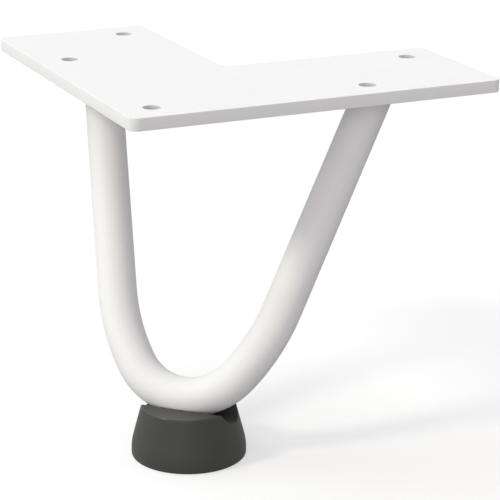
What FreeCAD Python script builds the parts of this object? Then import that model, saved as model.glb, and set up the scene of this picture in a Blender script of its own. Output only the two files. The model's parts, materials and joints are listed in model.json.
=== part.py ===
import FreeCAD, Part
import Sketcher
import math
import os

from FreeCAD import Placement, Rotation, Vector

# Welded table leg: an L-shaped mounting plate, a round rod bent into a U, and a moulded foot.
# Frame: +Z up, origin on the plate's top face at the centre of the corner screw hole.
# +Y runs along the plate's diagonal from its outer corner to its notch, +X along the U to the right arm.

SIZES = [
    ("arm_length", 125.0, "outer edge of each plate arm, from the theoretical outer corner"),
    ("arm_width", 52.5, "width of each plate arm"),
    ("plate_thickness", 4.0, "sheet thickness of the plate"),
    ("corner_radius", 3.0, "outer corners of the plate"),
    ("notch_radius", 4.0, "inner corner of the plate"),
    ("plate_edge_break", 0.3, "broken edge along the plate's outline, top and bottom"),
    ("hole_diameter", 5.5, "screw holes"),
    ("hole_inset", 11.0, "corner hole and edge holes to the outer edge"),
    ("edge_hole_to_end", 42.0, "edge hole, back from the arm's end"),
    ("end_hole_to_end", 11.25, "end hole, back from the arm's end"),
    ("end_hole_to_side", 10.75, "end hole to the arm's inner edge"),
    ("leg_height", 119.0, "top face of the plate to the sole of the foot"),
    ("rod_diameter", 12.7, "round rod"),
    ("weld_to_end", 30.25, "rod axis at the plate, back from the arm's end"),
    ("bend_radius", 22.0, "rod axis at the bottom of the U"),
    ("bend_angle", 53.5, "turn of the tight bend on each side"),
    ("shoulder_radius", 67.0, "rod axis between the tight bend and the straight leg"),
    ("weld_leg", 2.4, "fillet weld between rod and plate"),
    ("weld_toe", 0.25, "thickness of the weld where it runs out on the rod"),
    ("foot_height", 16.9, "moulded foot, sole to flat top"),
    ("foot_top_diameter", 30.2, "flat top of the foot"),
    ("foot_base_diameter", 37.0, "upright skirt of the foot"),
    ("foot_skirt_height", 4.0, "sole to where the skirt would meet the cone"),
    ("foot_blend_radius", 17.0, "between skirt and cone"),
    ("sole_break", 0.5, "broken edge of the sole"),
    ("groove_lip_round", 1.0, "lips of the groove along the flat top"),
    ("foot_floor", 12.45, "thickness of the foot under the rod"),
    ("seat_clearance", 0.1, "gap between the rod and the groove round it"),
    ("foot_offset", 2.1, "foot to the middle of the bend, along the groove"),
]

doc = FreeCAD.newDocument("hairpin_leg")


def make_sheet():
    """One row per driving size: name, value with its alias, and what it measures."""
    sheet = doc.addObject("Spreadsheet::Sheet", "sizes")
    for row, (alias, value, meaning) in enumerate(SIZES, start=1):
        sheet.set(f"A{row}", alias)
        sheet.set(f"B{row}", str(value))
        sheet.setAlias(f"B{row}", alias)
        sheet.set(f"C{row}", meaning)
    doc.recompute()
    return sheet


sheet = make_sheet()


def size(alias):
    return float(sheet.get(alias))


# Expressions shared by several features

BEND_DROP = "(sizes.leg_height - sizes.foot_floor - sizes.seat_clearance - sizes.rod_diameter / 2)"
LEAN_RUN = "((sizes.arm_length - sizes.weld_to_end - sizes.arm_width / 2) / sqrt(2))"
LEAN_RISE = f"({BEND_DROP} - sizes.plate_thickness)"
BEND_Y = "((sizes.arm_width / 2 - sizes.hole_inset) * sqrt(2))"
LEAN = f"(atan({LEAN_RUN} / {LEAN_RISE}))"
CONE_RUN = "((sizes.foot_base_diameter - sizes.foot_top_diameter) / 2)"
CONE_RISE = "(sizes.foot_height - sizes.foot_skirt_height)"
CONE_TILT = f"atan({CONE_RUN} / {CONE_RISE})"
BLEND_LIMIT = f"(sizes.foot_skirt_height - 2 * sizes.sole_break) / tan({CONE_TILT} / 2)"

# The same values as numbers, for starting geometry and for what has no expression

groove_radius = size("rod_diameter") / 2 + size("seat_clearance")
bend_drop = size("leg_height") - size("foot_floor") - size("seat_clearance") - size("rod_diameter") / 2
lean_run = (size("arm_length") - size("weld_to_end") - size("arm_width") / 2) / math.sqrt(2)
lean_rise = bend_drop - size("plate_thickness")
bend_y = (size("arm_width") / 2 - size("hole_inset")) * math.sqrt(2)


def new_body(name):
    body = doc.addObject("PartDesign::Body", name)
    body.Label = name
    return body


def origin_plane(body, role):
    return next(f for f in body.Origin.OriginFeatures if f.Role == role)


def new_sketch(body, name, role):
    sketch = body.newObject("Sketcher::SketchObject", name)
    sketch.AttachmentSupport = [(origin_plane(body, role), "")]
    sketch.MapMode = "FlatFace"
    return sketch


def bind(sketch, name, constraint, expression):
    """Adds a named dimension to the sketch and ties it to the sheet."""
    index = sketch.addConstraint(constraint)
    sketch.renameConstraint(index, name)
    sketch.setExpression(f"Constraints.{name}", expression)


def edge_names(shape, wanted):
    return [f"Edge{n}" for n, edge in enumerate(shape.Edges, start=1) if wanted(edge)]


def round_edges(body, name, wanted, radius_alias):
    """Fillets the edges of the body's tip that the test picks."""
    base = body.Tip
    fillet = body.newObject("PartDesign::Fillet", name)
    fillet.Base = (base, edge_names(base.Shape, wanted))
    fillet.setExpression("Radius", f"sizes.{radius_alias}")
    doc.recompute()
    return fillet


def break_edges(body, name, wanted, size_alias):
    """Chamfers the edges of the body's tip that the test picks."""
    base = body.Tip
    chamfer = body.newObject("PartDesign::Chamfer", name)
    chamfer.Base = (base, edge_names(base.Shape, wanted))
    chamfer.setExpression("Size", f"sizes.{size_alias}")
    doc.recompute()
    return chamfer


def at_height(edge, height, tolerance=1e-4):
    box = edge.BoundBox
    return abs(box.ZMin - height) < tolerance and abs(box.ZMax - height) < tolerance


# Mounting plate: drawn with its arms along the body's own X and Y, turned 45 degrees into the frame


def is_upright(edge):
    return edge.BoundBox.ZLength > size("plate_thickness") / 2


def is_notch_corner(edge):
    corner = size("arm_width") - size("hole_inset")
    point = edge.CenterOfMass
    return is_upright(edge) and abs(point.x - corner) < 1e-3 and abs(point.y - corner) < 1e-3


def is_outer_corner(edge):
    return is_upright(edge) and not is_notch_corner(edge)


def l_outline(body):
    """L-shaped outline of six lines; the sketch origin is the corner hole."""
    sketch = new_sketch(body, "plate_outline", "XY_Plane")
    near = -size("hole_inset")
    far = near + size("arm_length")
    inner = near + size("arm_width")
    corners = [(near, near), (far, near), (far, inner), (inner, inner), (inner, far), (near, far)]
    count = len(corners)
    for n, start in enumerate(corners):
        end = corners[(n + 1) % count]
        sketch.addGeometry(Part.LineSegment(Vector(*start, 0), Vector(*end, 0)))
    for n in range(count):
        sketch.addConstraint(Sketcher.Constraint("Coincident", n, 2, (n + 1) % count, 1))
        sketch.addConstraint(Sketcher.Constraint("Horizontal" if n % 2 == 0 else "Vertical", n))
    bind(sketch, "inset_x", Sketcher.Constraint("DistanceX", 0, 1, -1, 1, -near), "sizes.hole_inset")
    bind(sketch, "inset_y", Sketcher.Constraint("DistanceY", 0, 1, -1, 1, -near), "sizes.hole_inset")
    bind(sketch, "length_x", Sketcher.Constraint("DistanceX", 0, 1, 0, 2, far - near), "sizes.arm_length")
    bind(sketch, "length_y", Sketcher.Constraint("DistanceY", 5, 2, 5, 1, far - near), "sizes.arm_length")
    bind(sketch, "width_x", Sketcher.Constraint("DistanceX", 4, 2, 4, 1, inner - near), "sizes.arm_width")
    bind(sketch, "width_y", Sketcher.Constraint("DistanceY", 1, 1, 1, 2, inner - near), "sizes.arm_width")
    return sketch


def hole_circles(body):
    """Corner hole at the sketch origin, then an edge hole and an end hole on each arm."""
    sketch = new_sketch(body, "hole_circles", "XY_Plane")
    end = size("arm_length") - size("hole_inset")
    side = size("arm_width") - size("hole_inset")
    radius = size("hole_diameter") / 2
    edge_hole = end - size("edge_hole_to_end")
    along = end - size("end_hole_to_end")
    across = side - size("end_hole_to_side")
    centres = [(0, 0), (edge_hole, 0), (along, across), (0, edge_hole), (across, along)]
    for x, y in centres:
        sketch.addGeometry(Part.Circle(Vector(x, y, 0), Vector(0, 0, 1), radius))
    sketch.addConstraint(Sketcher.Constraint("Coincident", 0, 3, -1, 1))
    for n in range(1, len(centres)):
        sketch.addConstraint(Sketcher.Constraint("Equal", 0, n))
    bind(sketch, "hole_size", Sketcher.Constraint("Diameter", 0, 2 * radius), "sizes.hole_diameter")
    sketch.addConstraint(Sketcher.Constraint("PointOnObject", 1, 3, -1))
    sketch.addConstraint(Sketcher.Constraint("PointOnObject", 3, 3, -2))
    end_text = "sizes.arm_length - sizes.hole_inset"
    edge_text = f"{end_text} - sizes.edge_hole_to_end"
    along_text = f"{end_text} - sizes.end_hole_to_end"
    across_text = "sizes.arm_width - sizes.hole_inset - sizes.end_hole_to_side"
    bind(sketch, "edge_x", Sketcher.Constraint("DistanceX", -1, 1, 1, 3, edge_hole), edge_text)
    bind(sketch, "edge_y", Sketcher.Constraint("DistanceY", -1, 1, 3, 3, edge_hole), edge_text)
    bind(sketch, "along_x", Sketcher.Constraint("DistanceX", -1, 1, 2, 3, along), along_text)
    bind(sketch, "across_x", Sketcher.Constraint("DistanceY", -1, 1, 2, 3, across), across_text)
    bind(sketch, "across_y", Sketcher.Constraint("DistanceX", -1, 1, 4, 3, across), across_text)
    bind(sketch, "along_y", Sketcher.Constraint("DistanceY", -1, 1, 4, 3, along), along_text)
    return sketch


def make_plate():
    body = new_body("mounting_plate")
    outline = l_outline(body)
    pad = body.newObject("PartDesign::Pad", "plate_sheet")
    pad.Profile = outline
    pad.Reversed = True
    pad.setExpression("Length", "sizes.plate_thickness")
    doc.recompute()
    round_edges(body, "outer_corners", is_outer_corner, "corner_radius")
    round_edges(body, "notch_corner", is_notch_corner, "notch_radius")

    def is_rim(edge):
        return at_height(edge, 0) or at_height(edge, -size("plate_thickness"))

    break_edges(body, "rim_break", is_rim, "plate_edge_break")
    volume_before = body.Shape.Volume
    pocket = body.newObject("PartDesign::Pocket", "screw_holes")
    pocket.Profile = hole_circles(body)
    pocket.Type = "ThroughAll"
    pocket.Midplane = True
    doc.recompute()
    hole_area = math.pi * size("hole_diameter") ** 2 / 4
    expected = volume_before - 5 * hole_area * size("plate_thickness")
    if abs(body.Shape.Volume - expected) > 1e-3 * expected:
        raise RuntimeError("the screw holes did not cut through the plate")
    body.Placement = Placement(Vector(0, 0, 0), Rotation(Vector(0, 0, 1), 45))
    return body


# Bent rod: half of the U is swept in the body's own XZ plane and mirrored, then trimmed to the plate


def leg_angle():
    """Angle of the straight leg in the U's plane, from the tangent to the shoulder through the weld."""
    bend = size("bend_radius")
    shoulder = size("shoulder_radius")
    turn = math.radians(size("bend_angle"))
    across = lean_run - (bend - shoulder) * math.sin(turn)
    along = math.hypot(lean_run, lean_rise) - bend - (shoulder - bend) * math.cos(turn)
    return math.asin(shoulder / math.hypot(across, along)) + math.atan2(along, across)


def half_path(body):
    """Tight bend, shoulder and straight leg, each tangent to the next, from the bottom of the U."""
    bend = size("bend_radius")
    shoulder = size("shoulder_radius")
    turn = math.radians(size("bend_angle"))
    leg = leg_angle()
    weld = Vector(lean_run, math.hypot(lean_run, lean_rise), 0)
    overrun = size("rod_diameter")
    bend_centre = Vector(0, bend, 0)
    outward = Vector(math.sin(turn), -math.cos(turn), 0)
    shoulder_centre = bend_centre + outward * (bend - shoulder)
    leg_start = shoulder_centre + Vector(math.sin(leg), -math.cos(leg), 0) * shoulder
    leg_end = weld + Vector(math.cos(leg), math.sin(leg), 0) * overrun
    sketch = new_sketch(body, "rod_path", "XZ_Plane")
    normal = Vector(0, 0, 1)
    down = -math.pi / 2
    sketch.addGeometry(Part.ArcOfCircle(Part.Circle(bend_centre, normal, bend), down, down + turn))
    sketch.addGeometry(
        Part.ArcOfCircle(Part.Circle(shoulder_centre, normal, shoulder), down + turn, down + leg))
    sketch.addGeometry(Part.LineSegment(leg_start, leg_end))
    sketch.addConstraint(Sketcher.Constraint("Coincident", 0, 1, -1, 1))
    sketch.addConstraint(Sketcher.Constraint("PointOnObject", 0, 3, -2))
    sketch.addConstraint(Sketcher.Constraint("Tangent", 0, 2, 1, 1))
    sketch.addConstraint(Sketcher.Constraint("Tangent", 1, 2, 2, 1))
    bind(sketch, "bend", Sketcher.Constraint("Radius", 0, bend), "sizes.bend_radius")
    bind(sketch, "shoulder", Sketcher.Constraint("Radius", 1, shoulder), "sizes.shoulder_radius")
    bind(sketch, "turn", Sketcher.Constraint("Angle", 0, turn), "sizes.bend_angle")
    sketch.addGeometry(Part.Point(weld), True)
    sketch.addConstraint(Sketcher.Constraint("PointOnObject", 3, 1, 2))
    slope = f"sqrt({LEAN_RUN} ^ 2 + {LEAN_RISE} ^ 2)"
    bind(sketch, "weld_across", Sketcher.Constraint("DistanceX", -1, 1, 3, 1, weld.x), LEAN_RUN)
    bind(sketch, "weld_up", Sketcher.Constraint("DistanceY", -1, 1, 3, 1, weld.y), slope)
    bind(sketch, "overrun", Sketcher.Constraint("Distance", 3, 1, 2, 2, overrun), "sizes.rod_diameter")
    return sketch


def trim_outline(body):
    """Rectangle in the body's YZ plane whose lower side is the plate's underside, seen edge on."""
    sketch = new_sketch(body, "plate_underside", "YZ_Plane")
    lean = math.atan2(lean_run, lean_rise)
    reach = 4 * size("rod_diameter")
    middle = Vector(0, math.hypot(lean_run, lean_rise), 0)
    along = Vector(math.cos(lean), math.sin(lean), 0) * reach
    up = Vector(-math.sin(lean), math.cos(lean), 0) * reach
    corners = [middle - along, middle + along, middle + along + up, middle - along + up]
    for n, start in enumerate(corners):
        sketch.addGeometry(Part.LineSegment(start, corners[(n + 1) % 4]))
    for n in range(4):
        sketch.addConstraint(Sketcher.Constraint("Coincident", n, 2, (n + 1) % 4, 1))
    for n in range(3):
        sketch.addConstraint(Sketcher.Constraint("Perpendicular", n, n + 1))
    sketch.addGeometry(Part.Point(middle), True)
    sketch.addConstraint(Sketcher.Constraint("PointOnObject", 4, 1, -2))
    sketch.addConstraint(Sketcher.Constraint("Symmetric", 0, 1, 0, 2, 4, 1))
    slope = f"sqrt({LEAN_RUN} ^ 2 + {LEAN_RISE} ^ 2)"
    bind(sketch, "height", Sketcher.Constraint("DistanceY", -1, 1, 4, 1, middle.y), slope)
    bind(sketch, "tilt", Sketcher.Constraint("Angle", -1, 1, 0, 1, lean), LEAN)
    bind(sketch, "reach", Sketcher.Constraint("Distance", 4, 1, 0, 2, reach), "4 * sizes.rod_diameter")
    bind(sketch, "depth", Sketcher.Constraint("Distance", 1, 1, 1, 2, reach), "4 * sizes.rod_diameter")
    return sketch


def make_rod():
    body = new_body("bent_rod")
    section = new_sketch(body, "rod_section", "YZ_Plane")
    section.addGeometry(Part.Circle(Vector(0, 0, 0), Vector(0, 0, 1), size("rod_diameter") / 2))
    section.addConstraint(Sketcher.Constraint("Coincident", 0, 3, -1, 1))
    diameter = Sketcher.Constraint("Diameter", 0, size("rod_diameter"))
    bind(section, "rod_size", diameter, "sizes.rod_diameter")
    pipe = body.newObject("PartDesign::AdditivePipe", "half_rod")
    pipe.Profile = section
    pipe.Spine = half_path(body)
    doc.recompute()
    mirror = body.newObject("PartDesign::Mirrored", "whole_rod")
    mirror.Originals = [pipe]
    mirror.MirrorPlane = (origin_plane(body, "YZ_Plane"), [""])
    body.Tip = mirror
    doc.recompute()
    volume_before = body.Shape.Volume
    trim = body.newObject("PartDesign::Pocket", "mitred_ends")
    trim.Profile = trim_outline(body)
    trim.Type = "ThroughAll"
    trim.Midplane = True
    doc.recompute()
    if body.Shape.Volume > volume_before - size("rod_diameter") ** 3:
        raise RuntimeError("the rod's ends were not trimmed to the plate")
    body.setExpression("Placement.Base.y", BEND_Y)
    body.setExpression("Placement.Base.z", f"-{BEND_DROP}")
    body.setExpression("Placement.Rotation.Axis.x", "-1")
    body.setExpression("Placement.Rotation.Axis.y", "0")
    body.setExpression("Placement.Rotation.Axis.z", "0")
    body.setExpression("Placement.Rotation.Angle", LEAN)
    doc.recompute()
    return body


# Fillet welds: rings around the rod's oblique section, flush with the plate's underside


def weld_ring(side):
    """Ring between the plate's underside and the rod; side is -1 for the left weld, 1 for the right."""
    leg = leg_angle()
    slope = math.hypot(lean_run, lean_rise)
    lean = math.asin(lean_run / slope)
    rod = size("rod_diameter") / 2
    direction = Vector(
        side * math.cos(leg), math.sin(leg) * math.sin(lean), math.sin(leg) * math.cos(lean))
    level = Vector(direction.x, direction.y, 0)
    run = level.Length / direction.z
    level.normalize()
    stretch = direction.Length / direction.z

    def section(height, growth):
        centre = level * (-run * height) + Vector(0, 0, -height)
        long_end = centre + level * (rod * stretch + growth)
        short_end = centre + Vector(0, 0, 1).cross(level) * (rod + growth)
        return Part.Wire(Part.Ellipse(long_end, short_end, centre).toShape())

    tall = size("weld_leg")
    outer = Part.makeLoft([section(0, tall), section(tall, size("weld_toe"))], True)
    inner = Part.makeLoft([section(0, 0), section(tall, 0)], True)
    return outer.cut(inner)


def make_weld(name, side):
    feature = doc.addObject("Part::Feature", name)
    feature.Label = name
    feature.Shape = weld_ring(side)
    position = Vector(side * lean_run, bend_y + lean_run, -size("plate_thickness"))
    feature.Placement = Placement(position, Rotation())
    return feature


# Foot: a revolved block with a half-round groove along X across its flat top


def blend_arc():
    """Tilt of the cone, and radius, centre and upper end of the arc between skirt and cone.

    The radius is limited so that some of the skirt stays upright under it.
    """
    top = size("foot_top_diameter") / 2
    base = size("foot_base_diameter") / 2
    skirt = size("foot_skirt_height")
    tilt = math.atan2(base - top, size("foot_height") - skirt)
    limit = (skirt - 2 * size("sole_break")) / math.tan(tilt / 2)
    radius = min(size("foot_blend_radius"), limit)
    centre = Vector(base - radius, skirt - radius * math.tan(tilt / 2), 0)
    end = centre + Vector(math.cos(tilt), math.sin(tilt), 0) * radius
    return tilt, radius, centre, end


def foot_profile(body):
    """Half section in the XZ plane, origin on the sole: sole, skirt, blend, cone, flat top, axis."""
    sketch = new_sketch(body, "foot_profile", "XZ_Plane")
    top = size("foot_top_diameter") / 2
    base = size("foot_base_diameter") / 2
    height = size("foot_height")
    skirt = size("foot_skirt_height")
    edge = size("sole_break")
    tilt, blend_radius, blend_centre, blend_end = blend_arc()
    blend_circle = Part.Circle(blend_centre, Vector(0, 0, 1), blend_radius)
    sketch.addGeometry(Part.LineSegment(Vector(0, 0, 0), Vector(base - edge, 0, 0)))
    sketch.addGeometry(Part.LineSegment(Vector(base - edge, 0, 0), Vector(base, edge, 0)))
    sketch.addGeometry(Part.LineSegment(Vector(base, edge, 0), Vector(base, blend_centre.y, 0)))
    sketch.addGeometry(Part.ArcOfCircle(blend_circle, 0, tilt))
    sketch.addGeometry(Part.LineSegment(blend_end, Vector(top, height, 0)))
    sketch.addGeometry(Part.LineSegment(Vector(top, height, 0), Vector(0, height, 0)))
    sketch.addGeometry(Part.LineSegment(Vector(0, height, 0), Vector(0, 0, 0)))
    sketch.addGeometry(Part.Point(Vector(base, skirt, 0)), True)
    for n in (2, 3):
        sketch.addConstraint(Sketcher.Constraint("Tangent", n, 2, n + 1, 1))
    for n in (0, 1, 4, 5, 6):
        sketch.addConstraint(Sketcher.Constraint("Coincident", n, 2, (n + 1) % 7, 1))
    for n in (0, 5):
        sketch.addConstraint(Sketcher.Constraint("Horizontal", n))
    for n in (2, 6):
        sketch.addConstraint(Sketcher.Constraint("Vertical", n))
    sketch.addConstraint(Sketcher.Constraint("Coincident", 0, 1, -1, 1))
    for n in (2, 4):
        sketch.addConstraint(Sketcher.Constraint("PointOnObject", 7, 1, n))
    base_text = "sizes.foot_base_diameter / 2"
    top_text = "sizes.foot_top_diameter / 2"
    skirt_text = "sizes.foot_skirt_height"
    bind(sketch, "break_across", Sketcher.Constraint("DistanceX", 1, 1, 1, 2, edge), "sizes.sole_break")
    bind(sketch, "break_up", Sketcher.Constraint("DistanceY", 1, 1, 1, 2, edge), "sizes.sole_break")
    blend = Sketcher.Constraint("Radius", 3, blend_radius)
    bind(sketch, "blend", blend, f"min(sizes.foot_blend_radius; {BLEND_LIMIT})")
    bind(sketch, "base", Sketcher.Constraint("DistanceX", -1, 1, 7, 1, base), base_text)
    bind(sketch, "skirt", Sketcher.Constraint("DistanceY", -1, 1, 7, 1, skirt), skirt_text)
    bind(sketch, "top", Sketcher.Constraint("DistanceX", 5, 2, 5, 1, top), top_text)
    bind(sketch, "height", Sketcher.Constraint("DistanceY", 6, 2, 6, 1, height), "sizes.foot_height")
    return sketch


def make_foot():
    body = new_body("foot")
    revolution = body.newObject("PartDesign::Revolution", "foot_block")
    revolution.Profile = foot_profile(body)
    revolution.ReferenceAxis = (next(f for f in body.Origin.OriginFeatures if f.Role == "Z_Axis"), [""])
    revolution.Angle = 360
    doc.recompute()
    groove = new_sketch(body, "groove_section", "YZ_Plane")
    centre_height = size("foot_floor") + groove_radius
    groove.addGeometry(Part.Circle(Vector(0, centre_height, 0), Vector(0, 0, 1), groove_radius))
    groove.addConstraint(Sketcher.Constraint("PointOnObject", 0, 3, -2))
    radius_text = "sizes.rod_diameter / 2 + sizes.seat_clearance"
    bind(groove, "groove_size", Sketcher.Constraint("Radius", 0, groove_radius), radius_text)
    rise = Sketcher.Constraint("DistanceY", -1, 1, 0, 3, centre_height)
    bind(groove, "groove_rise", rise, f"sizes.foot_floor + {radius_text}")
    volume_before = body.Shape.Volume
    pocket = body.newObject("PartDesign::Pocket", "rod_groove")
    pocket.Profile = groove
    pocket.Type = "ThroughAll"
    pocket.Midplane = True
    doc.recompute()
    if body.Shape.Volume > volume_before - size("foot_top_diameter"):
        raise RuntimeError("the groove did not cut the foot")

    def is_lip(edge):
        straight = abs(edge.Length - edge.BoundBox.XLength) < 1e-3
        return at_height(edge, size("foot_height")) and straight

    round_edges(body, "groove_lips", is_lip, "groove_lip_round")
    body.setExpression("Placement.Base.x", "sizes.foot_offset")
    body.setExpression("Placement.Base.y", BEND_Y)
    body.setExpression("Placement.Base.z", "-sizes.leg_height")
    doc.recompute()
    return body


def check_and_export(sub_parts):
    """Every object must be recomputed without a fault and every sub-part must be one valid solid."""
    doc.recompute()
    for item in doc.Objects:
        if "Invalid" in item.State or "Error" in item.State:
            raise RuntimeError(f"{item.Name} did not compute: {item.State}")
    for item in sub_parts:
        if item.Shape.isNull() or not item.Shape.isValid():
            raise RuntimeError(f"{item.Label} has no valid shape")
        if len(item.Shape.Solids) != 1:
            raise RuntimeError(f"{item.Label} is not one solid")
    os.makedirs("parts", exist_ok=True)
    for item in sub_parts:
        item.Shape.exportStep(f"parts/{item.Label}.step")


check_and_export([
    make_plate(),
    make_rod(),
    make_weld("weld_left", -1),
    make_weld("weld_right", 1),
    make_foot(),
])
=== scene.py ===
"""Hairpin table leg: coated steel plate, bent rod, weld beads and moulded foot, set for a studio shot."""
import json
import math

import bmesh
import bpy
import numpy as np
from bpy.props import FloatProperty, FloatVectorProperty, PointerProperty
from mathutils import Matrix, Vector
from mathutils.geometry import delaunay_2d_cdt


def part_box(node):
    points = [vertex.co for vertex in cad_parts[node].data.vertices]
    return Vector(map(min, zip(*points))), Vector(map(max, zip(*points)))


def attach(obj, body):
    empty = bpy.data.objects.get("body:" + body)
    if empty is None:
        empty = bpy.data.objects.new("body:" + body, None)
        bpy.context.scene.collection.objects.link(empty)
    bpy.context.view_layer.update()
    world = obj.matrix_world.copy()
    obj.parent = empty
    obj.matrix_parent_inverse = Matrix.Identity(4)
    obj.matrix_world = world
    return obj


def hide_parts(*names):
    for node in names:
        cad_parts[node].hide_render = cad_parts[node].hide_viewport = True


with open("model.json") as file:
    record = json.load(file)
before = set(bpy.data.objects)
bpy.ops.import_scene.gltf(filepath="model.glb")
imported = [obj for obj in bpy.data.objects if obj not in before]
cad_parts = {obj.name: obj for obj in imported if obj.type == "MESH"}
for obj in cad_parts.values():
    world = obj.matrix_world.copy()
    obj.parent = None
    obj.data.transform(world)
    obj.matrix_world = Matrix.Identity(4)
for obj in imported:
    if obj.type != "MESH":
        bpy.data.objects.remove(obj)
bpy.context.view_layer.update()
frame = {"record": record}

bl_info = {
    "name": "Hairpin Table Leg",
    "version": (1, 0, 0),
    "blender": (4, 5, 0),
    "location": "View3D > Sidebar > Table Leg",
    "description": "Builds a coated steel hairpin leg with its moulded foot",
    "category": "Object",
}

MM = 0.001
MOUNTS = {mount["name"]: mount for mount in frame["record"]["mounts"]}
CORNER_HOLE = MOUNTS["corner_screw_hole"]
ARM_HOLES = MOUNTS["arm_screw_holes"]
PLATE_LOW, PLATE_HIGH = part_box("mounting_plate")
FOOT_LOW, FOOT_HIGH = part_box("foot")

# The plate's diagonal lies along Y in the frame, so its box ends at rounded corners. Each of them is
# CORNER_LOSS short of where the sharp corner would be.
PLATE_CORNER = 3 * MM
CORNER_LOSS = PLATE_CORNER * (math.sqrt(2) - 1)
HOLE_INSET = (CORNER_LOSS - PLATE_LOW.y) / math.sqrt(2)
ARM_LENGTH = (CORNER_LOSS + PLATE_HIGH.x) * math.sqrt(2)
ARM_WIDTH = (CORNER_LOSS + PLATE_HIGH.y) * math.sqrt(2) - ARM_LENGTH + 2 * HOLE_INSET


# Settings

BRIGHTEST = 20.0


def size(label, default, words):
    """A length of the object, held in metres and shown in the scene's unit."""
    return FloatProperty(name=label, description=words, default=default, min=0.0, precision=5,
                         unit="LENGTH", subtype="DISTANCE")


def amount(label, default, words, top=1.0):
    """A plain number from nought to the top."""
    return FloatProperty(name=label, description=words, default=default, min=0.0, max=top)


def turn(label, default, words):
    """An angle, given here in degrees."""
    return FloatProperty(name=label, description=words, default=math.radians(default),
                         unit="ROTATION", subtype="ANGLE")


def colour(label, default, words):
    """A linear colour."""
    return FloatVectorProperty(name=label, description=words, default=default, size=3,
                               min=0.0, max=1.0, subtype="COLOR")


class LegPlateSettings(bpy.types.PropertyGroup):
    arm_length: size("Arm Length", ARM_LENGTH, "Outer edge of each arm, from the sharp outer corner")
    arm_width: size("Arm Width", ARM_WIDTH, "Width of each arm")
    thickness: size("Thickness", -PLATE_LOW.z, "Sheet thickness")
    corner_radius: size("Corner Radius", PLATE_CORNER, "Outer corners")
    notch_radius: size("Notch Radius", 0.004, "Inner corner")
    edge_round: size("Edge Round", 0.00015, "Coated edge along the outline")
    hole_round: size("Hole Round", 0.0002, "Coated edge round each screw hole")
    hole_inset: size("Hole Inset", HOLE_INSET, "Corner hole to the outer edges")


class LegRodSettings(bpy.types.PropertyGroup):
    radius: size("Radius", 0.00635, "Half of the rod's diameter")
    weld_to_end: size("Weld to Arm End", 0.03025, "Rod axis at the plate, back from the arm's end")
    bend_depth: size("Bend Depth", 0.1001, "Rod axis at the bend, below the plate's top face")
    bend_radius: size("Bend Radius", 0.022, "Rod axis at the bottom of the U")
    bend_angle: turn("Bend Angle", 53.5, "Turn of the tight bend on each side")
    shoulder_radius: size("Shoulder Radius", 0.067, "Rod axis between the tight bend and the straight leg")


class LegWeldSettings(bpy.types.PropertyGroup):
    leg: size("Leg", 0.0021, "Fillet weld's leg on plate and rod")
    fullness: FloatProperty(name="Fullness", description="Section of the bead, from 1, round, to 2, flat",
                            default=1.5, min=1.0, max=2.0)
    ripple: size("Ripple Depth", 0.00016, "Height of each ripple in the bead")
    pitch: size("Ripple Pitch", 0.0019, "Distance from ripple to ripple")
    sink: size("Sink", 0.0001, "How far the bead's back lies inside the steel")


class LegFootSettings(bpy.types.PropertyGroup):
    height: size("Height", FOOT_HIGH.z - FOOT_LOW.z, "Sole to flat top")
    top_radius: size("Top Radius", 0.0151, "Flat top")
    base_radius: size("Base Radius", (FOOT_HIGH.x - FOOT_LOW.x) / 2, "Upright skirt")
    skirt: size("Skirt Height", 0.004, "Sole to where the skirt would meet the cone")
    blend: size("Blend Radius", 0.017, "Between skirt and cone")
    sole_round: size("Sole Round", 0.0006, "Edge of the sole")
    groove_radius: size("Groove Radius", 0.00645, "Groove across the flat top")
    floor: size("Floor", 0.01245, "Thickness under the rod")
    lip_round: size("Lip Round", 0.001, "Lips of the groove")
    rim_round: size("Rim Round", 0.0004, "Rim of the flat top")
    mouth_round: size("Mouth Round", 0.00012, "Edges of the groove's two mouths")


class LegCoatSettings(bpy.types.PropertyGroup):
    tint: colour("Tint", (0.9, 0.9, 0.9), "White powder coat")
    tint_thin: colour("Thin Tint", (0.885, 0.885, 0.885), "Where the coat flowed thinner")
    # Painted shade: a grey tint laid on the walls of the screw holes, where shade falls inside them.
    painted_hole_shade: colour("Hole Tint", (0.69, 0.69, 0.69), "Inside the screw holes, where little powder sits")
    roughness: amount("Roughness", 0.58, "Satin of the cured coat")
    peel_size: size("Peel Size", 0.0011, "Width of the coat's fine waves")
    peel_depth: size("Peel Depth", 0.000011, "Height of the coat's fine waves")
    cloud_size: size("Cloud Size", 0.018, "Width of the thinner and thicker patches")


class LegRubberSettings(bpy.types.PropertyGroup):
    tint: colour("Tint", (0.0238, 0.0248, 0.0193), "Dark grey moulding")
    tint_pale: colour("Pale Tint", (0.0263, 0.0273, 0.0217), "Paler clouds in the moulding")
    roughness: amount("Roughness", 0.65, "Satin of the moulded wall")
    top_roughness: amount("Top Roughness", 0.28, "Satin of the flat top, from the mould's polished lid")
    grain_size: size("Grain Size", 0.0003, "Width of the mould's spark grain")
    grain_depth: size("Grain Depth", 0.00001, "Height of the mould's spark grain")
    cloud_size: size("Cloud Size", 0.009, "Width of the paler clouds")


class LegStageSettings(bpy.types.PropertyGroup):
    azimuth: turn("Azimuth", 20.591, "Camera direction round the leg, to the right of the front")
    elevation: turn("Elevation", 17.783, "Camera direction above the horizon")
    roll: turn("Roll", 0.093, "Turn of the camera about its view")
    lens: FloatProperty(name="Lens", description="Focal length", default=145.06, unit="CAMERA")
    lamps: amount("Lamps", 1.0, "Strength of all the lamps", BRIGHTEST)
    room: amount("Room", 0.472, "Strength of the room's even light", BRIGHTEST)
    room_tint: colour("Room Tint", (1.0, 0.945, 0.975), "Colour of the room's even light")
    lift: amount("Floor Lift", 0.54, "Glow that brings the pale floor to the photo's white")


# Meshes

MERGE_DISTANCE = 1e-7
SLIVER = 1e-8


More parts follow.
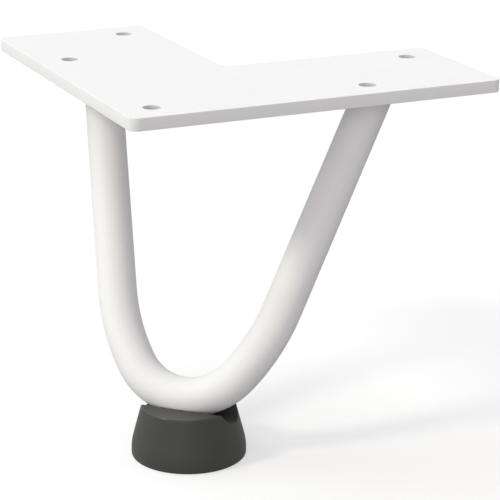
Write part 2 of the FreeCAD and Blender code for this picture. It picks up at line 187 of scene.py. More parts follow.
def add_piece(name, corners, faces, material, node, hole_shade=None):
    """A closed mesh from corners in metres, merged at its seams and faced outwards. It replaces a CAD node.

    The last argument gives each corner's share of painted shade in the screw holes, from 0 to 1.
    """
    mesh = bpy.data.meshes.new(name)
    mesh.from_pydata(corners.tolist(), [], faces)
    # Painted shade: each corner's share of the grey tint on the screw holes' walls.
    if hole_shade is not None:
        mesh.attributes.new("hole_shade", "FLOAT", "POINT").data.foreach_set("value", hole_shade)
    work = bmesh.new()
    work.from_mesh(mesh)
    bmesh.ops.remove_doubles(work, verts=work.verts, dist=MERGE_DISTANCE)
    bmesh.ops.dissolve_degenerate(work, edges=work.edges, dist=SLIVER)
    bmesh.ops.recalc_face_normals(work, faces=work.faces)
    if any(not edge.is_manifold for edge in work.edges):
        raise RuntimeError(f"{name} is not a closed surface")
    if work.calc_volume(signed=True) <= 0:
        raise RuntimeError(f"{name} is inside out")
    work.to_mesh(mesh)
    work.free()
    mesh.shade_smooth()
    piece = bpy.data.objects.new(name, mesh)
    bpy.context.scene.collection.objects.link(piece)
    mesh.materials.append(material)
    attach(piece, "root")
    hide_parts(node)


def grid_faces(across, along, closed, start=0):
    """Quads of a grid whose corner (i, j) is numbered i * along + j.

    closed joins the last row to the first, and start is the number of the first corner.
    """
    rows = np.arange(across if closed else across - 1)[:, None]
    columns = np.arange(along - 1)[None, :]
    here = rows * along + columns
    after = ((rows + 1) % across) * along + columns
    quads = np.stack([here, here + 1, after + 1, after], -1).reshape(-1, 4)
    return (quads + start).tolist()


def arc(first, last, steps):
    """Evenly spaced values from first to last, both included."""
    return np.linspace(first, last, steps + 1)


def circle(sides):
    """Evenly spaced angles once round, without the last that equals the first."""
    return arc(0, 2 * math.pi, sides)[:-1]


# Plate

CORNER_STEPS = 16
EDGE_STEPS = 6
HOLE_SIDES = 72
HOLE_EDGE_STEPS = 5
SIDE_SPACING = 4 * MM
OUTLINE_FLANGE = 0.6 * MM
HOLE_FLANGE = 0.5 * MM
# Blender's triangulation fills what lies inside the borders and takes points this near for one
TRIANGLES_INSIDE = 1
NEAR_IN_MM = 1e-6


def rounded_outline(corners, radii, steps):
    """Points and outward directions of a polygon with rounded corners, counter-clockwise.

    At each corner the outward direction turns evenly from that of the side before to that of the side
    after, and a point lies one radius along it from the arc's centre, or against it where the corner
    turns inwards.
    """
    before = corners - np.roll(corners, 1, 0)
    before /= np.linalg.norm(before, axis=1, keepdims=True)
    after = np.roll(before, -1, 0)
    turning = np.sign(before[:, 0] * after[:, 1] - before[:, 1] * after[:, 0])
    right_before = np.stack([before[:, 1], -before[:, 0]], -1)
    right_after = np.stack([after[:, 1], -after[:, 0]], -1)
    start = corners - before * radii[:, None]
    centre = start - right_before * (turning * radii)[:, None]
    angle = arc(0, math.pi / 2, steps)[None, :, None]
    outward = right_before[:, None] * np.cos(angle) + right_after[:, None] * np.sin(angle)
    points = centre[:, None] + outward * (turning * radii)[:, None, None]
    return points.reshape(-1, 2), outward.reshape(-1, 2)


def split_sides(points, outward, spacing):
    """Adds evenly spaced points where two neighbours lie further apart than the spacing."""
    ahead = np.roll(points, -1, 0) - points
    gaps = np.maximum(np.ceil(np.linalg.norm(ahead, axis=1) / spacing).astype(int), 1)
    first = np.repeat(np.arange(len(points)), gaps)
    share = (np.arange(gaps.sum()) - np.repeat(np.cumsum(gaps) - gaps, gaps)) / gaps[first]
    return points[first] + ahead[first] * share[:, None], outward[first]


def plate_outline(p):
    """Points and outward directions of the L, seen from above, with its diagonal along Y."""
    near = -p.hole_inset
    far = near + p.arm_length
    inner = near + p.arm_width
    square = np.array([[near, near], [far, near], [far, inner], [inner, inner], [inner, far], [near, far]])
    diagonal = np.array([[1, 1], [-1, 1]]) / math.sqrt(2)
    outer = p.corner_radius
    radii = np.array([outer, outer, outer, p.notch_radius, outer, outer])
    points, outward = rounded_outline(square @ diagonal, radii, CORNER_STEPS)
    return split_sides(points, outward, SIDE_SPACING)


def hole_centres():
    """Centres of the five screw holes from the record's mounts, seen from above."""
    middle = np.array(ARM_HOLES["pos_m"][:2])
    half_x = ARM_HOLES["dims"]["spacing_x_mm"] * MM / 2
    half_y = ARM_HOLES["dims"]["spacing_y_mm"] * MM / 2
    signs = np.array([[1, 1], [1, -1], [-1, 1], [-1, -1]])
    pattern = middle + signs * np.array([half_x, half_y])
    return np.concatenate([[CORNER_HOLE["pos_m"][:2]], pattern])


def edge_section(thickness, rounding, flange, steps):
    """Section across a plate's edge as outward distance and height.

    It runs from the flange on top over a round, the wall and a round to the flange below. A point of the
    upper round lies its radius times the sine less one outwards, and times the cosine less one upwards.
    """
    bend = arc(0, math.pi / 2, steps)
    top = np.stack([rounding * (np.sin(bend) - 1), rounding * (np.cos(bend) - 1)], -1)
    bottom = np.stack([top[::-1, 0], -thickness - top[::-1, 1]], -1)
    inner_top = [[-rounding - flange, 0.0]]
    inner_bottom = [[-rounding - flange, -thickness]]
    return np.concatenate([inner_top, top, bottom, inner_bottom])


def edge_band(points, outward, section):
    """Carries a section along a closed path.

    Each point moves out by the section's first value and stands at the height of its second.
    """
    flat = points[:, None] + outward[:, None] * section[None, :, :1]
    height = np.broadcast_to(section[None, :, 1:], flat.shape[:2] + (1,))
    return np.concatenate([flat, height], -1).reshape(-1, 3)


def cap_triangles(points, counts):
    """Triangles between the first loop of points and the others, each loop with its count of points.

    A triangle with all three corners on one of the inner loops would fill a hole, so it is left out.
    """
    starts = np.cumsum([0] + counts[:-1])
    borders = np.concatenate([
        np.stack([np.arange(count), np.roll(np.arange(count), -1)], -1) + start
        for count, start in zip(counts, starts)])
    made = delaunay_2d_cdt((points / MM).tolist(), borders.tolist(), [], TRIANGLES_INSIDE, NEAR_IN_MM)
    faces, origins = made[2], made[3]
    source = np.array([origin[0] for origin in origins])
    triangles = source[np.array(faces)]
    loop_of = np.repeat(np.arange(len(counts)), counts)[triangles]
    in_hole = (loop_of[:, 0] > 0) & (loop_of == loop_of[:, :1]).all(1)
    return triangles[~in_hole]


def plate_mesh(p):
    """Bands round the outline and round each hole, joined above and below by flat triangulated faces.

    The third result, the share of painted shade inside the screw holes, is one on their walls and falls to
    nought over their rounded edges.
    """
    points, outward = plate_outline(p)
    section = edge_section(p.thickness, p.edge_round, OUTLINE_FLANGE, EDGE_STEPS)
    loops = [(points, outward, section, np.zeros(len(section)))]
    around = circle(HOLE_SIDES)
    spoke = np.stack([np.cos(around), -np.sin(around)], -1)
    hole_radius = CORNER_HOLE["dims"]["r_mm"] * MM
    hole_section = edge_section(p.thickness, p.hole_round, HOLE_FLANGE, HOLE_EDGE_STEPS)
    # Painted shade inside each screw hole: full on the wall, none on the flat faces.
    hole_wall_shade = np.clip(1 + hole_section[:, 0] / p.hole_round, 0, 1)
    for centre in hole_centres():
        loops.append((centre + spoke * hole_radius, -spoke, hole_section, hole_wall_shade))
    corners, faces, painted_shade, top, bottom = [], [], [], [], []
    start = 0
    for path, away, section, section_shade in loops:
        corners.append(edge_band(path, away, section))
        faces += grid_faces(len(path), len(section), True, start)
        painted_shade.append(np.tile(section_shade, len(path)))
        top.append(start + np.arange(len(path)) * len(section))
        bottom.append(top[-1] + len(section) - 1)
        start += len(path) * len(section)
    corners = np.concatenate(corners)
    counts = [len(rim) for rim in top]
    top = np.concatenate(top)
    caps = cap_triangles(corners[top, :2], counts)
    faces += top[caps].tolist()
    faces += np.concatenate(bottom)[caps[:, ::-1]].tolist()
    return corners, faces, np.concatenate(painted_shade)


# Rod

ROD_SIDES = 96
BEND_STEPS = 24
LEG_STEPS = 40


def bend_offset(plate):
    """Distance of the bend and the foot from the corner hole, along the plate's diagonal."""
    return (plate.arm_width / 2 - plate.hole_inset) * math.sqrt(2)


def weld_point(plate, rod):
    """Where the right leg's axis meets the plate's underside: the middle of the arm, back from its end."""
    along = plate.arm_length - rod.weld_to_end - plate.hole_inset
    across = plate.arm_width / 2 - plate.hole_inset
    return np.array([(along - across) / math.sqrt(2), (along + across) / math.sqrt(2), -plate.thickness])


def rod_plane(plate, rod):
    """The U's leaning plane: its lowest point, its upward direction and the length up to the welds."""
    weld = weld_point(plate, rod)
    low = np.array([0, bend_offset(plate), -rod.bend_depth])
    rise = (weld - low) * np.array([0, 1, 1])
    length = np.linalg.norm(rise)
    return low, rise / length, length


def leg_angle(plate, rod):
    """Slope of the straight leg in the U's plane, from the tangent to the shoulder through the weld.

    It is the slope from the shoulder's centre to the weld, plus the angle whose sine is the shoulder's
    radius over the distance between the two.
    """
    _, _, rise = rod_plane(plate, rod)
    bend, shoulder = rod.bend_radius, rod.shoulder_radius
    across = weld_point(plate, rod)[0] - (bend - shoulder) * math.sin(rod.bend_angle)
    along = rise - bend - (shoulder - bend) * math.cos(rod.bend_angle)
    return math.asin(shoulder / math.hypot(across, along)) + math.atan2(along, across)


def rod_line(rod, slope):
    """Centre-line points and slopes of the right half, across and up in the U's plane.

    They end where the straight leg begins. An arc of the tight radius turns by the bend angle, and an arc
    of the shoulder radius by the rest.
    """
    tight = arc(0, rod.bend_angle, BEND_STEPS)
    wide = arc(rod.bend_angle, slope, BEND_STEPS)[1:]
    first = np.stack([np.sin(tight), 1 - np.cos(tight)], -1) * rod.bend_radius
    outward = np.array([math.sin(rod.bend_angle), -math.cos(rod.bend_angle)])
    centre = np.array([0, rod.bend_radius]) + outward * (rod.bend_radius - rod.shoulder_radius)
    second = centre + np.stack([np.sin(wide), -np.cos(wide)], -1) * rod.shoulder_radius
    return np.concatenate([first, second]), np.concatenate([tight, wide])


def rod_mesh(plate, rod):
    """A circle carried along the U and cut off at the plate's underside.

    A ring's point lies the cosine times the radius inwards in the U's plane and the sine times the radius
    along its normal. Each point of the last ring runs on along the straight leg until it meets the plate.
    """
    low, up, _ = rod_plane(plate, rod)
    slope = leg_angle(plate, rod)
    line, slopes = rod_line(rod, slope)
    plane = np.stack([[1, 0, 0], up])
    normal = np.cross(plane[0], up)
    inward = np.stack([-np.sin(slopes), np.cos(slopes)], -1) @ plane
    around = circle(ROD_SIDES)[:, None]
    rings = (low + line @ plane)[:, None] + rod.radius * (
        np.cos(around) * inward[:, None] + np.sin(around) * normal)
    ahead = np.array([math.cos(slope), math.sin(slope)]) @ plane
    reach = (-plate.thickness - rings[-1, :, 2:]) / ahead[2]
    share = arc(0, 1, LEG_STEPS)[1:, None, None]
    right = np.concatenate([rings, rings[-1] + share * reach * ahead])
    left = right[:0:-1] * np.array([-1, 1, 1])
    first, last = (np.broadcast_to(end.mean(0), (1, *end.shape)) for end in (left[0], right[-1]))
    tube = np.concatenate([first, left, right, last])
    corners = tube.transpose(1, 0, 2).reshape(-1, 3)
    return corners, grid_faces(tube.shape[1], tube.shape[0], True)


# Welds

BEAD_SIDES = 480
BEAD_STEPS = 14
RIPPLE_LAG = 0.9
RIPPLE_DOWN = 0.7
# Slow changes of the bead's width: share of it, waves round the rod, start, and turn of the start by side
BEAD_WAVES = ((0.05, 3, 0.7, 0.0), (0.03, 7, 0.0, 2.1))


def bead_section(rod, weld, side):
    """How far each point of the bead lies out from the rod and down from the plate, row by row round it.

    Out and down are the leg times the cosine and the sine of an angle raised to the fullness. Each ripple
    is one less the fourth power of its phase, which runs from -1 to 1 and lags in the middle of the bead.
    The bead's back lies a little inside the steel.
    """
    around = circle(BEAD_SIDES)[:, None]
    count = round(2 * math.pi * (rod.radius + weld.leg) / weld.pitch)
    bend = arc(0, math.pi / 2, BEAD_STEPS)
    phase = (around * count / (2 * math.pi) - RIPPLE_LAG * np.sin(bend) ** 2) % 1.0
    ripple = weld.ripple * (1 - (2 * phase - 1) ** 4) * np.sin(2 * bend)
    leg = weld.leg * (1 + sum(
        share * np.sin(waves * around + start + by_side * side)
        for share, waves, start, by_side in BEAD_WAVES))
    out = leg * np.cos(bend) ** weld.fullness + ripple
    down = leg * np.sin(bend) ** weld.fullness + ripple * RIPPLE_DOWN
    back = np.full_like(around, -weld.sink)
    out = np.concatenate([back, out[:, :1], out, back, back], 1)
    down = np.concatenate([back, back, down, down[:, -1:], back], 1)
    return around, out, down


def weld_mesh(plate, rod, weld, side):
    """A bead round the rod's oblique footprint, with a ripple at each pitch.

    Along the lean a point lies the cosine times the sum of out and the rod's radius, stretched by the
    oblique cut, less what the rod runs sideways on its way down. Beside the lean it lies the sine times
    the sum of out and the radius.
    """
    slope = leg_angle(plate, rod)
    _, up, _ = rod_plane(plate, rod)
    ahead = np.array([side * math.cos(slope), math.sin(slope) * up[1], math.sin(slope) * up[2]])
    level = ahead * np.array([1, 1, 0])
    run = np.linalg.norm(level) / ahead[2]
    level /= np.linalg.norm(level)
    beside = np.array([-level[1], level[0], 0])
    around, out, down = bead_section(rod, weld, side)
    along = np.cos(around) * (rod.radius / ahead[2] + out) - run * down
    across = np.sin(around) * (rod.radius + out)
    place = weld_point(plate, rod) * np.array([side, 1, 1])
    corners = (place + level * along[..., None] + beside * across[..., None]
               - np.array([0, 0, 1]) * down[..., None])
    return corners.reshape(-1, 3), grid_faces(corners.shape[0], corners.shape[1], True)


# Foot

GROOVE_STEPS = 26
LIP_STEPS = 14
FLAT_STEPS = 40
RIM_STEPS = 6
WALL_STEPS = 16
BLEND_STEPS = 14
SOLE_STEPS = 6
SOLE_RINGS = 8
LID_STEPS = 60


def groove_lips(f):
    """Where each lip's arc begins and ends, as distances from the groove's middle line.

    The groove's circle and the lip's circle touch, so their centres lie both radii apart.
    """
    both = f.groove_radius + f.lip_round
    rise = f.floor + f.groove_radius - (f.height - f.lip_round)
    outer = math.sqrt(both ** 2 - rise ** 2)
    return outer * f.groove_radius / both, outer


def groove_height(f, y):
    """Height and slope of the top over y: flat outside the lips, an arc on each lip, a round groove.

    In the groove the height is that of its centre less the square root of its radius squared less y
    squared. On a lip it is that of the lip's centre plus the square root of its radius squared less the
    squared distance over y from the centre.
    """
    lip_in, lip_out = groove_lips(f)
    away = np.abs(y)
    in_groove = np.sqrt(f.groove_radius ** 2 - np.minimum(away, lip_in) ** 2)
    past = np.clip(lip_out - away, 0, lip_out - lip_in)
    in_lip = np.sqrt(f.lip_round ** 2 - past ** 2)
    height = np.where(away >= lip_out, f.height, np.where(
        away >= lip_in, f.height - f.lip_round + in_lip, f.floor + f.groove_radius - in_groove))
    slope = np.where(away >= lip_out, 0, np.where(away >= lip_in, past / in_lip, away / in_groove))
    return height, slope * np.sign(y)


def cone_radius(f, z, tilt):
    """Radius of the cone at a height over the sole."""
    return f.top_radius + (f.height - z) * math.tan(tilt)


def there_and_back(values, sign=1):
    """Values along one side and back along the other, with both ends once."""
    return np.concatenate([values, sign * values[-2:0:-1]])


def foot_edge(f, tilt):
    """The top's edge once round, the directions that wall and top face there, and the radius of its round.

    The top is a height over y alone. Its edge is where that height meets the cone, at x = the square
    root of the cone's radius squared less y squared.
    """
    lip_in, lip_out = groove_lips(f)
    groove = f.groove_radius * np.sin(arc(0, math.asin(lip_in / f.groove_radius), GROOVE_STEPS))
    lip = arc(lip_in, lip_out, LIP_STEPS)
    flat = f.top_radius * np.sin(arc(math.asin(lip_out / f.top_radius), math.pi / 2, FLAT_STEPS))
    half = np.concatenate([groove, lip[1:], flat[1:]])
    y = np.concatenate([-half[:0:-1], half])
    height, slope = groove_height(f, y)
    x = np.sqrt(np.maximum(cone_radius(f, height, tilt) ** 2 - y ** 2, 0))
    edge = np.stack([there_and_back(x, -1), there_and_back(y), there_and_back(height)], -1)
    heading = np.arctan2(edge[:, 1], edge[:, 0])
    wall = np.stack([np.cos(heading) * math.cos(tilt), np.sin(heading) * math.cos(tilt),
                     np.full(len(edge), math.sin(tilt))], -1)
    top = np.stack([np.zeros(len(edge)), -there_and_back(slope), np.ones(len(edge))], -1)
    top /= np.linalg.norm(top, axis=1, keepdims=True)
    flatness = np.clip((np.abs(edge[:, 1:2]) - lip_in) / (lip_out - lip_in), 0, 1)
    return edge, wall, top, f.mouth_round + (f.rim_round - f.mouth_round) * flatness


def foot_rim(f, tilt):
    """Rows across the rounded edge between wall and top, from the wall up, once round the foot.

    A ball rolls inside the edge, small in the groove's mouths and larger along the flat top. Its centre
    lies back along the sum of both directions over one plus their product. The last row is set on the top.
    """
    edge, wall, top, radii = foot_edge(f, tilt)
    product = (wall * top).sum(1, keepdims=True)
    ball = edge - radii * (wall + top) / (1 + product)
    opening = np.arccos(np.clip(product, -1, 1))[:, None]
    share = arc(0, 1, RIM_STEPS)[:, None]
    rolled = (np.sin((1 - share) * opening) * wall[:, None]
              + np.sin(share * opening) * top[:, None]) / np.sin(opening)
    rim = ball[:, None] + radii[:, None] * rolled
    rim[:, -1, 2] = groove_height(f, rim[:, -1, 1])[0]
    return rim


def foot_profile(f, tilt):
    """Radius and height from the middle of the sole round its edge and up to the end of the blend."""
    inner = f.base_radius - f.sole_round
    sole = arc(0, math.pi / 2, SOLE_STEPS)
    bend = arc(0, tilt, BLEND_STEPS)
    blend_low = f.skirt - f.blend * math.tan(tilt / 2)
    radius = np.concatenate([
        inner * arc(0, 1, SOLE_RINGS)[:-1], inner + f.sole_round * np.sin(sole),
        f.base_radius - f.blend + f.blend * np.cos(bend)])
    level = np.concatenate([
        np.zeros(SOLE_RINGS), f.sole_round * (1 - np.cos(sole)), blend_low + f.blend * np.sin(bend)])
    return radius, level


def foot_mesh(plate, f, offset):
    """A turned wall under a top that runs straight along the groove, joined by the rounded rim.

    A column of the wall stands at the cosine and the sine of its heading times the profile's radius. The
    lid's rows run straight across from rim to rim.
    """
    tilt = math.atan2(f.base_radius - f.top_radius, f.height - f.skirt)
    rim = foot_rim(f, tilt)
    radius, level = foot_profile(f, tilt)
    climb = level[-1] + (rim[:, :1, 2] - level[-1]) * arc(0, 1, WALL_STEPS)[1:-1]
    radius = np.concatenate([np.tile(radius, (len(rim), 1)), cone_radius(f, climb, tilt)], 1)
    level = np.concatenate([np.tile(level, (len(rim), 1)), climb], 1)
    heading = np.arctan2(rim[:, 0, 1], rim[:, 0, 0])[:, None]
    wall = np.stack([np.cos(heading) * radius, np.sin(heading) * radius, level], -1)
    columns = np.concatenate([wall, rim], 1)
    faces = grid_faces(columns.shape[0], columns.shape[1], True)
    corners = columns.reshape(-1, 3)
    lines = len(rim) // 2 + 1
    across = np.ones((LID_STEPS + 1, 3))
    across[:, 0] = arc(-1, 1, LID_STEPS)
    lid = rim[:lines, None, -1] * across
    faces += grid_faces(lines, len(across), False, len(corners))
    corners = np.concatenate([corners, lid.reshape(-1, 3)])
    return corners + np.array([offset, bend_offset(plate), FOOT_LOW.z]), faces


# Materials

COAT_IOR = 1.45
RUBBER_IOR = 1.48
NOISE_ROUGHNESS = 0.55
FINE_DETAIL = 2.0
CLOUD_DETAIL = 4.0
# Stretches of the clouds' noise that the tint and the roughness follow
TINT_STRETCH = (0.35, 0.65)
ROUGHNESS_STRETCH = (0.3, 0.7)
ROUGHNESS_SWING = 0.02
# How far below the flat top the mould's polished lid reaches, and the height over which it ends
LID_DEPTH = 0.45 * MM
LID_BLEND = 0.2 * MM


def new_material(name):
    """An empty node material, its tree and its output."""
    material = bpy.data.materials.new(name)
    material.use_nodes = True
    tree = material.node_tree
    tree.nodes.clear()
    return material, tree, tree.nodes.new("ShaderNodeOutputMaterial")


def link(tree, source, target):
    """Joins a node's output to another's input."""
    tree.links.new(source, target)


def set_inputs(node, **values):
    """Sets a node's sockets by name, with an underscore for each space."""
    for key, value in values.items():
        node.inputs[key.replace("_", " ")].default_value = value


def fine_relief_group():
    """Shared relief over object coordinates: a fine noise as a height and a wide one as soft clouds."""
    group = bpy.data.node_groups.new("fine_relief", "ShaderNodeTree")
    nodes = group.nodes
    port = group.interface.new_socket
    for name in ("Width", "Cloud Width"):
        port(name, in_out="INPUT", socket_type="NodeSocketFloat").default_value = MM
    for name in ("Height", "Clouds"):
        port(name, in_out="OUTPUT", socket_type="NodeSocketFloat")
    inside = nodes.new("NodeGroupInput")
    outside = nodes.new("NodeGroupOutput")
    place = nodes.new("ShaderNodeTexCoord")
    kinds = (("Width", "Height", FINE_DETAIL), ("Cloud Width", "Clouds", CLOUD_DETAIL))
    for socket, name, detail in kinds:
        scale = nodes.new("ShaderNodeMath")
        scale.operation = "DIVIDE"
        scale.inputs[0].default_value = 1.0
        noise = nodes.new("ShaderNodeTexNoise")
        set_inputs(noise, Detail=detail, Roughness=NOISE_ROUGHNESS)
        link(group, inside.outputs[socket], scale.inputs[1])
        link(group, scale.outputs[0], noise.inputs["Scale"])
        link(group, place.outputs["Object"], noise.inputs["Vector"])
        link(group, noise.outputs["Fac"], outside.inputs[name])
    return group


def relief_group():
    """The shared relief, built on first use."""
    return bpy.data.node_groups.get("fine_relief") or fine_relief_group()


def relief_node(tree, width, clouds):
    """The shared relief with a material's own widths."""
    node = tree.nodes.new("ShaderNodeGroup")
    node.node_tree = relief_group()
    set_inputs(node, Width=width, Cloud_Width=clouds)
    return node


def ramp_between(tree, source, low, high, first, last):
    """Maps a mask from the stretch low..high to first..last."""
    node = tree.nodes.new("ShaderNodeMapRange")
    set_inputs(node, From_Min=low, From_Max=high, To_Min=first, To_Max=last)
    link(tree, source, node.inputs["Value"])
    return node.outputs["Result"]


def mix_colours(tree, mask, first, second):
    """Goes from the first colour or socket to the second as the mask goes from nought to one."""
    node = tree.nodes.new("ShaderNodeMix")
    node.data_type = "RGBA"
    for name, value in (("A", first), ("B", second)):
        if isinstance(value, bpy.types.NodeSocket):
            link(tree, value, node.inputs[name])
        else:
            node.inputs[name].default_value = (*value, 1)
    link(tree, mask, node.inputs["Factor"])
    return node.outputs["Result"]


def mix_shaders(tree, mask, first, second):
    """Goes from the first shader to the second as the mask goes from nought to one."""
    node = tree.nodes.new("ShaderNodeMixShader")
    link(tree, mask, node.inputs[0])
    link(tree, first.outputs[0], node.inputs[1])
    link(tree, second.outputs[0], node.inputs[2])
    return node


def finish_material(tree, shader, relief, depth, output):
    """Gives the shader the relief's height as a bump of that depth, and joins it to the output."""
    bump = tree.nodes.new("ShaderNodeBump")
    set_inputs(bump, Strength=1.0, Distance=depth)
    link(tree, relief.outputs["Height"], bump.inputs["Height"])
    link(tree, bump.outputs["Normal"], shader.inputs["Normal"])
    link(tree, shader.outputs["BSDF"], output.inputs["Surface"])


def coat_material(coat):
    """White powder coat: satin, with faint waves and clouds, and painted shade, a grey tint, on the screw
    holes' walls where the mesh marks them.
    """
    material, tree, output = new_material("white_powder_coat")
    shader = tree.nodes.new("ShaderNodeBsdfPrincipled")
    set_inputs(shader, IOR=COAT_IOR)
    relief = relief_node(tree, coat.peel_size, coat.cloud_size)
    clouds = ramp_between(tree, relief.outputs["Clouds"], *TINT_STRETCH, 0.0, 1.0)
    cloudy = mix_colours(tree, clouds, coat.tint_thin, coat.tint)
    # Painted shade: the mesh's hole-wall mark mixes the coat towards the grey tint inside the screw holes.
    painted_shade = tree.nodes.new("ShaderNodeAttribute")
    painted_shade.attribute_name = "hole_shade"
    tint = mix_colours(tree, painted_shade.outputs["Fac"], cloudy, coat.painted_hole_shade)
    link(tree, tint, shader.inputs["Base Color"])
    rough = ramp_between(tree, relief.outputs["Clouds"], *ROUGHNESS_STRETCH,
                         coat.roughness + ROUGHNESS_SWING, coat.roughness - ROUGHNESS_SWING)
    link(tree, rough, shader.inputs["Roughness"])
    finish_material(tree, shader, relief, coat.peel_depth, output)
    return material


def lid_mask(tree):
    """One near the height of the foot's flat top: on the top itself, its rim and the groove's lips."""
    place = tree.nodes.new("ShaderNodeTexCoord")
    height = tree.nodes.new("ShaderNodeSeparateXYZ")
    link(tree, place.outputs["Object"], height.inputs[0])
    low = FOOT_HIGH.z - LID_DEPTH
    return ramp_between(tree, height.outputs["Z"], low, low + LID_BLEND, 0.0, 1.0)


def rubber_material(rubber):
    """Dark grey moulding: satin skin with the mould's spark grain and faint paler clouds."""
    material, tree, output = new_material("grey_moulded_rubber")
    shader = tree.nodes.new("ShaderNodeBsdfPrincipled")
    set_inputs(shader, IOR=RUBBER_IOR)
    relief = relief_node(tree, rubber.grain_size, rubber.cloud_size)
    clouds = ramp_between(tree, relief.outputs["Clouds"], *TINT_STRETCH, 0.0, 1.0)
    tint = mix_colours(tree, clouds, rubber.tint, rubber.tint_pale)
    link(tree, tint, shader.inputs["Base Color"])
    rough = ramp_between(tree, lid_mask(tree), 0.0, 1.0, rubber.roughness, rubber.top_roughness)
    link(tree, rough, shader.inputs["Roughness"])
    finish_material(tree, shader, relief, rubber.grain_depth, output)
    return material


def leg_coat(scene):
    """The powder coat, built on first use."""
    return bpy.data.materials.get("white_powder_coat") or coat_material(scene.leg_coat)


def leg_rubber(scene):
    """The foot's rubber, built on first use."""
    return bpy.data.materials.get("grey_moulded_rubber") or rubber_material(scene.leg_rubber)


# Stage

# Name, azimuth, elevation and spread in degrees, strength, colour
LAMPS = (
    ("key", -46, 38.5, 12, 1.088, (0.993, 1.0, 0.832)),
    ("front_fill", 9, 11, 30, 0.832, (1.0, 0.907, 0.923)),
    ("left_overhead", -95, 57, 40, 0.99, (0.845, 0.94, 1.0)),
    ("left_low", -80, 5, 30, 0.405, (0.823, 0.987, 1.0)),
    ("right_low", 95, 2, 40, 0.277, (0.816, 1.0, 0.975)),
    ("back_rim", -160, 28, 50, 0.12, (1.0, 1.0, 1.0)),
)
CAMERA_PLACE = Vector((0.23029, -0.53354, 0.14267))
CAMERA_SHIFT = (0.0077, -0.0053)
CAMERA_REACH = (0.05, 20.0)
SENSOR_WIDTH = 36.0
FLOOR_RADIUS = 6.0
FLOOR_SIDES = 64
FLOOR_SEEN = (0.5, 0.5, 0.5, 1)
FLOOR_BOUNCE = (0.21, 0.21, 0.21, 1)
WHITE = (1, 1, 1, 1)


def seen_rays(tree):
    """One where a ray comes from the camera, a reflection or glass."""
    path = tree.nodes.new("ShaderNodeLightPath")
    seen = path.outputs["Is Camera Ray"]
    for name in ("Is Glossy Ray", "Is Transmission Ray"):
        either = tree.nodes.new("ShaderNodeMath")
        either.operation = "MAXIMUM"
        link(tree, seen, either.inputs[0])
        link(tree, path.outputs[name], either.inputs[1])
        seen = either.outputs[0]
    return seen


def floor_material(lift):
    """Pale floor that the camera and reflections see as white, less the shadow.

    It throws little light back, and from below it is clear, so that the object's underside can be seen.
    """
    material, tree, output = new_material("pale_floor")
    pale = tree.nodes.new("ShaderNodeBsdfDiffuse")
    set_inputs(pale, Color=FLOOR_SEEN)
    dim = tree.nodes.new("ShaderNodeBsdfDiffuse")
    set_inputs(dim, Color=FLOOR_BOUNCE)
    glow = tree.nodes.new("ShaderNodeEmission")
    set_inputs(glow, Strength=lift)
    both = tree.nodes.new("ShaderNodeAddShader")
    link(tree, pale.outputs[0], both.inputs[0])
    link(tree, glow.outputs[0], both.inputs[1])
    above = mix_shaders(tree, seen_rays(tree), dim, both)
    clear = tree.nodes.new("ShaderNodeBsdfTransparent")
    side = tree.nodes.new("ShaderNodeNewGeometry")
    one_sided = mix_shaders(tree, side.outputs["Backfacing"], above, clear)
    link(tree, one_sided.outputs[0], output.inputs["Surface"])
    return material


def add_floor(stage):
    """A flat disc under the sole, wide enough to reach past the camera's view."""
    around = circle(FLOOR_SIDES)
    level = np.full(FLOOR_SIDES, FOOT_LOW.z)
    ring = np.stack([np.cos(around) * FLOOR_RADIUS, np.sin(around) * FLOOR_RADIUS, level], -1)
    mesh = bpy.data.meshes.new("floor")
    mesh.from_pydata(ring.tolist(), [], [list(range(FLOOR_SIDES))])
    mesh.materials.append(floor_material(stage.lift))
    floor = bpy.data.objects.new("floor", mesh)
    bpy.context.scene.collection.objects.link(floor)


def add_world(stage):
    """An even room light that the camera and reflections see as plain white."""
    world = bpy.data.worlds.new("room")
    world.use_nodes = True
    tree = world.node_tree
    tree.nodes.clear()
    output = tree.nodes.new("ShaderNodeOutputWorld")
    light = tree.nodes.new("ShaderNodeBackground")
    set_inputs(light, Strength=stage.room, Color=(*stage.room_tint, 1))
    white = tree.nodes.new("ShaderNodeBackground")
    set_inputs(white, Strength=1.0, Color=WHITE)
    mix = mix_shaders(tree, seen_rays(tree), light, white)
    link(tree, mix.outputs[0], output.inputs["Surface"])
    bpy.context.scene.world = world


def facing(azimuth, elevation, roll=0.0):
    """Turn of a camera or lamp that looks at the leg from there: its right, up and back as columns.

    The azimuth counts from the front to the right. The roll turns right and up about the view.
    """
    back = Vector((math.sin(azimuth) * math.cos(elevation), -math.cos(azimuth) * math.cos(elevation),
                   math.sin(elevation)))
    right = Vector((math.cos(azimuth), math.sin(azimuth), 0))
    up = back.cross(right)
    rolled_right = right * math.cos(roll) + up * math.sin(roll)
    rolled_up = up * math.cos(roll) - right * math.sin(roll)
    return Matrix((rolled_right, rolled_up, back)).transposed().to_4x4()


def add_lamp(name, azimuth, elevation, spread, strength, tint):
    """A distant soft lamp that shines from that azimuth, counted as the camera's is, and elevation."""
    data = bpy.data.lights.new(name, "SUN")
    data.energy = strength
    data.color = tint
    data.angle = math.radians(spread)
    lamp = bpy.data.objects.new(name, data)
    lamp.matrix_world = facing(math.radians(azimuth), math.radians(elevation))
    bpy.context.scene.collection.objects.link(lamp)


def add_camera(stage):
    """The photo's camera, as fitted to the leg's edges in it."""
    data = bpy.data.cameras.new("camera")
    data.lens = stage.lens
    data.sensor_width = SENSOR_WIDTH
    data.shift_x, data.shift_y = CAMERA_SHIFT
    data.clip_start, data.clip_end = CAMERA_REACH
    camera = bpy.data.objects.new("camera", data)
    turned = facing(stage.azimuth, stage.elevation, stage.roll)
    camera.matrix_world = Matrix.Translation(CAMERA_PLACE) @ turned
    bpy.context.scene.collection.objects.link(camera)
    bpy.context.scene.camera = camera


# Operators


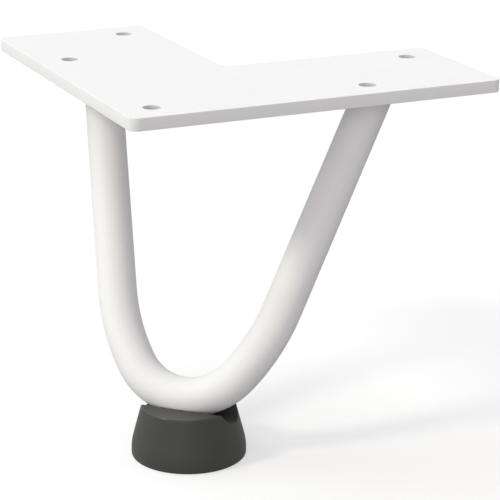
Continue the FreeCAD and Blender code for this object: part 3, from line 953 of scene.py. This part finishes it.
class LEG_OT_plate(bpy.types.Operator):
    """Build the L-shaped steel plate with its five screw holes"""
    bl_idname = "table_leg.plate"
    bl_label = "Steel Plate"

    def execute(self, context):
        scene = context.scene
        corners, faces, hole_shade = plate_mesh(scene.leg_plate)
        add_piece("steel_plate", corners, faces, leg_coat(scene), "mounting_plate",
                  hole_shade)
        return {"FINISHED"}


class LEG_OT_rod(bpy.types.Operator):
    """Build the rod that is bent into a leaning U"""
    bl_idname = "table_leg.rod"
    bl_label = "Bent Rod"

    def execute(self, context):
        scene = context.scene
        corners, faces = rod_mesh(scene.leg_plate, scene.leg_rod)
        add_piece("steel_rod", corners, faces, leg_coat(scene), "bent_rod")
        return {"FINISHED"}


class LEG_OT_welds(bpy.types.Operator):
    """Build the two weld beads between rod and plate"""
    bl_idname = "table_leg.welds"
    bl_label = "Weld Beads"

    def execute(self, context):
        scene = context.scene
        for name, side in (("left", -1), ("right", 1)):
            corners, faces = weld_mesh(scene.leg_plate, scene.leg_rod, scene.leg_weld, side)
            add_piece(f"{name}_bead", corners, faces, leg_coat(scene), f"weld_{name}")
        return {"FINISHED"}


class LEG_OT_foot(bpy.types.Operator):
    """Build the moulded foot with its groove"""
    bl_idname = "table_leg.foot"
    bl_label = "Moulded Foot"

    def execute(self, context):
        scene = context.scene
        offset = (FOOT_LOW.x + FOOT_HIGH.x) / 2
        corners, faces = foot_mesh(scene.leg_plate, scene.leg_foot, offset)
        add_piece("moulded_foot", corners, faces, leg_rubber(scene), "foot")
        return {"FINISHED"}


class LEG_OT_stage(bpy.types.Operator):
    """Set up the floor, the room, the lamps and the camera"""
    bl_idname = "table_leg.stage"
    bl_label = "Studio"

    def execute(self, context):
        scene = context.scene
        stage = scene.leg_stage
        add_floor(stage)
        add_world(stage)
        for name, azimuth, elevation, spread, strength, tint in LAMPS:
            add_lamp(name, azimuth, elevation, spread, strength * stage.lamps, tint)
        add_camera(stage)
        scene.view_settings.view_transform = "Standard"
        return {"FINISHED"}


class LEG_PT_panel(bpy.types.Panel):
    """Lists the leg's pieces and their sizes"""
    bl_idname = "LEG_PT_panel"
    bl_label = "Table Leg"
    bl_space_type = "VIEW_3D"
    bl_region_type = "UI"
    bl_category = "Table Leg"

    def draw(self, context):
        layout = self.layout
        for operator in OPERATORS:
            layout.operator(operator.bl_idname)
        for name in SETTINGS:
            box = layout.box()
            settings = getattr(context.scene, name)
            for field in settings.__annotations__:
                box.prop(settings, field)


SETTINGS = {
    "leg_plate": LegPlateSettings,
    "leg_rod": LegRodSettings,
    "leg_weld": LegWeldSettings,
    "leg_foot": LegFootSettings,
    "leg_coat": LegCoatSettings,
    "leg_rubber": LegRubberSettings,
    "leg_stage": LegStageSettings,
}
OPERATORS = (LEG_OT_plate, LEG_OT_rod, LEG_OT_welds, LEG_OT_foot, LEG_OT_stage)


def register():
    for group in SETTINGS.values():
        bpy.utils.register_class(group)
    for name, group in SETTINGS.items():
        setattr(bpy.types.Scene, name, PointerProperty(type=group))
    for operator in OPERATORS:
        bpy.utils.register_class(operator)
    bpy.utils.register_class(LEG_PT_panel)


def unregister():
    bpy.utils.unregister_class(LEG_PT_panel)
    for operator in reversed(OPERATORS):
        bpy.utils.unregister_class(operator)
    for name in reversed(SETTINGS):
        delattr(bpy.types.Scene, name)
    for group in reversed(list(SETTINGS.values())):
        bpy.utils.unregister_class(group)


def main():
    register()
    bpy.ops.table_leg.plate()
    bpy.ops.table_leg.rod()
    bpy.ops.table_leg.welds()
    bpy.ops.table_leg.foot()
    bpy.ops.table_leg.stage()


if __name__ == "__main__":
    main()
